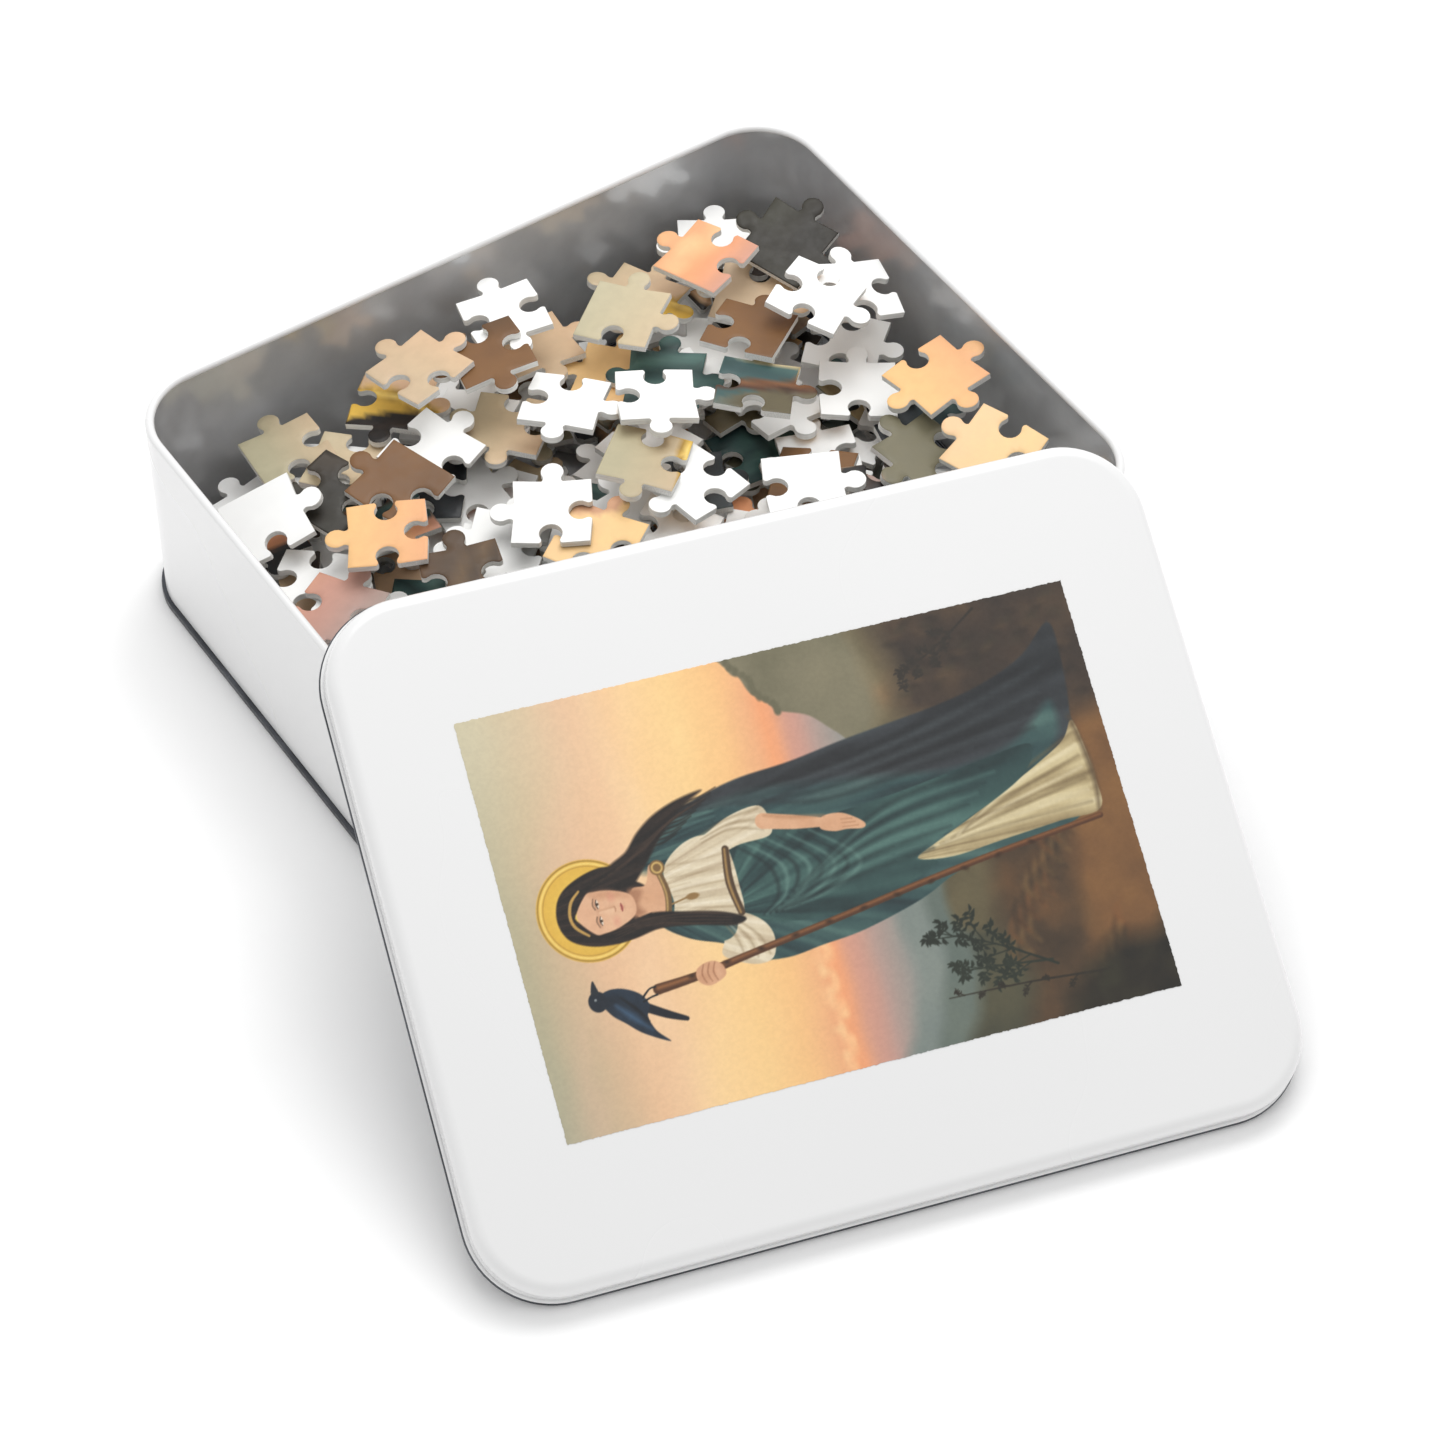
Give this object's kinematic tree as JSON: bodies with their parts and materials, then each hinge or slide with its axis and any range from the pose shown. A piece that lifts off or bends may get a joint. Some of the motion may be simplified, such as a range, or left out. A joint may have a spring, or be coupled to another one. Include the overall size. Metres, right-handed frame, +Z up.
{
  "type": "boxed jigsaw puzzle",
  "caption": "Open rectangular tin holding a heap of loose jigsaw pieces, with its picture lid leaning on the front rim.",
  "frame": {"origin": "middle of the flat underside of the tin, on the table", "axes": "+Z up, +X along the tin's length, -Y towards the leaning lid"},
  "size_m": [0.233, 0.2858, 0.081],
  "materials": {
    "white_coated_tinplate": "gloss",
    "bare_tinplate": "satin",
    "printed_ink": "satin",
    "chipboard": "matte"
  },
  "bodies": {
    "tin": {"tin_wall": "white_coated_tinplate", "tin_base": "bare_tinplate", "heap_1": "chipboard", "heap_2": "chipboard", "heap_3": "chipboard", "heap_4": "chipboard", "heap_5": "chipboard", "heap_6": "chipboard", "heap_7": "chipboard", "heap_8": "chipboard", "heap_9": "chipboard", "heap_10": "chipboard", "heap_11": "chipboard", "heap_12": "chipboard", "heap_13": "chipboard", "heap_14": "chipboard", "heap_15": "chipboard", "heap_16": "chipboard", "heap_17": "chipboard", "heap_18": "chipboard", "heap_19": "chipboard", "heap_20": "chipboard", "heap_21": "chipboard", "heap_22": "chipboard", "heap_23": "chipboard", "heap_24": "chipboard"},
    "lid": {"lid_shell": "white_coated_tinplate", "lid_picture": "printed_ink"},
    "piece_1": {"loose_1": "chipboard"},
    "piece_2": {"loose_2": "chipboard"},
    "piece_3": {"loose_3": "chipboard"},
    "piece_4": {"loose_4": "chipboard"},
    "piece_5": {"loose_5": "chipboard"},
    "piece_6": {"loose_6": "chipboard"},
    "piece_7": {"loose_7": "chipboard"},
    "piece_8": {"loose_8": "chipboard"},
    "piece_9": {"loose_9": "chipboard"},
    "piece_10": {"loose_10": "chipboard"}
  },
  "joints": [
    {"name": "lid_lift", "type": "slide", "parent": "tin", "child": "lid", "axis": [0, 0, 1], "range_m": [0, 0.15]},
    {"name": "piece_lift_1", "type": "slide", "parent": "tin", "child": "piece_1", "axis": [0, 0, 1], "range_m": [0, 0.12]},
    {"name": "piece_lift_2", "type": "slide", "parent": "tin", "child": "piece_2", "axis": [0, 0, 1], "range_m": [0, 0.12]},
    {"name": "piece_lift_3", "type": "slide", "parent": "tin", "child": "piece_3", "axis": [0, 0, 1], "range_m": [0, 0.12]},
    {"name": "piece_lift_4", "type": "slide", "parent": "tin", "child": "piece_4", "axis": [0, 0, 1], "range_m": [0, 0.12]},
    {"name": "piece_lift_5", "type": "slide", "parent": "tin", "child": "piece_5", "axis": [0, 0, 1], "range_m": [0, 0.12]},
    {"name": "piece_lift_6", "type": "slide", "parent": "tin", "child": "piece_6", "axis": [0, 0, 1], "range_m": [0, 0.12]},
    {"name": "piece_lift_7", "type": "slide", "parent": "tin", "child": "piece_7", "axis": [0, 0, 1], "range_m": [0, 0.12]},
    {"name": "piece_lift_8", "type": "slide", "parent": "tin", "child": "piece_8", "axis": [0, 0, 1], "range_m": [0, 0.12]},
    {"name": "piece_lift_9", "type": "slide", "parent": "tin", "child": "piece_9", "axis": [0, 0, 1], "range_m": [0, 0.12]},
    {"name": "piece_lift_10", "type": "slide", "parent": "tin", "child": "piece_10", "axis": [0, 0, 1], "range_m": [0, 0.12]}
  ]
}
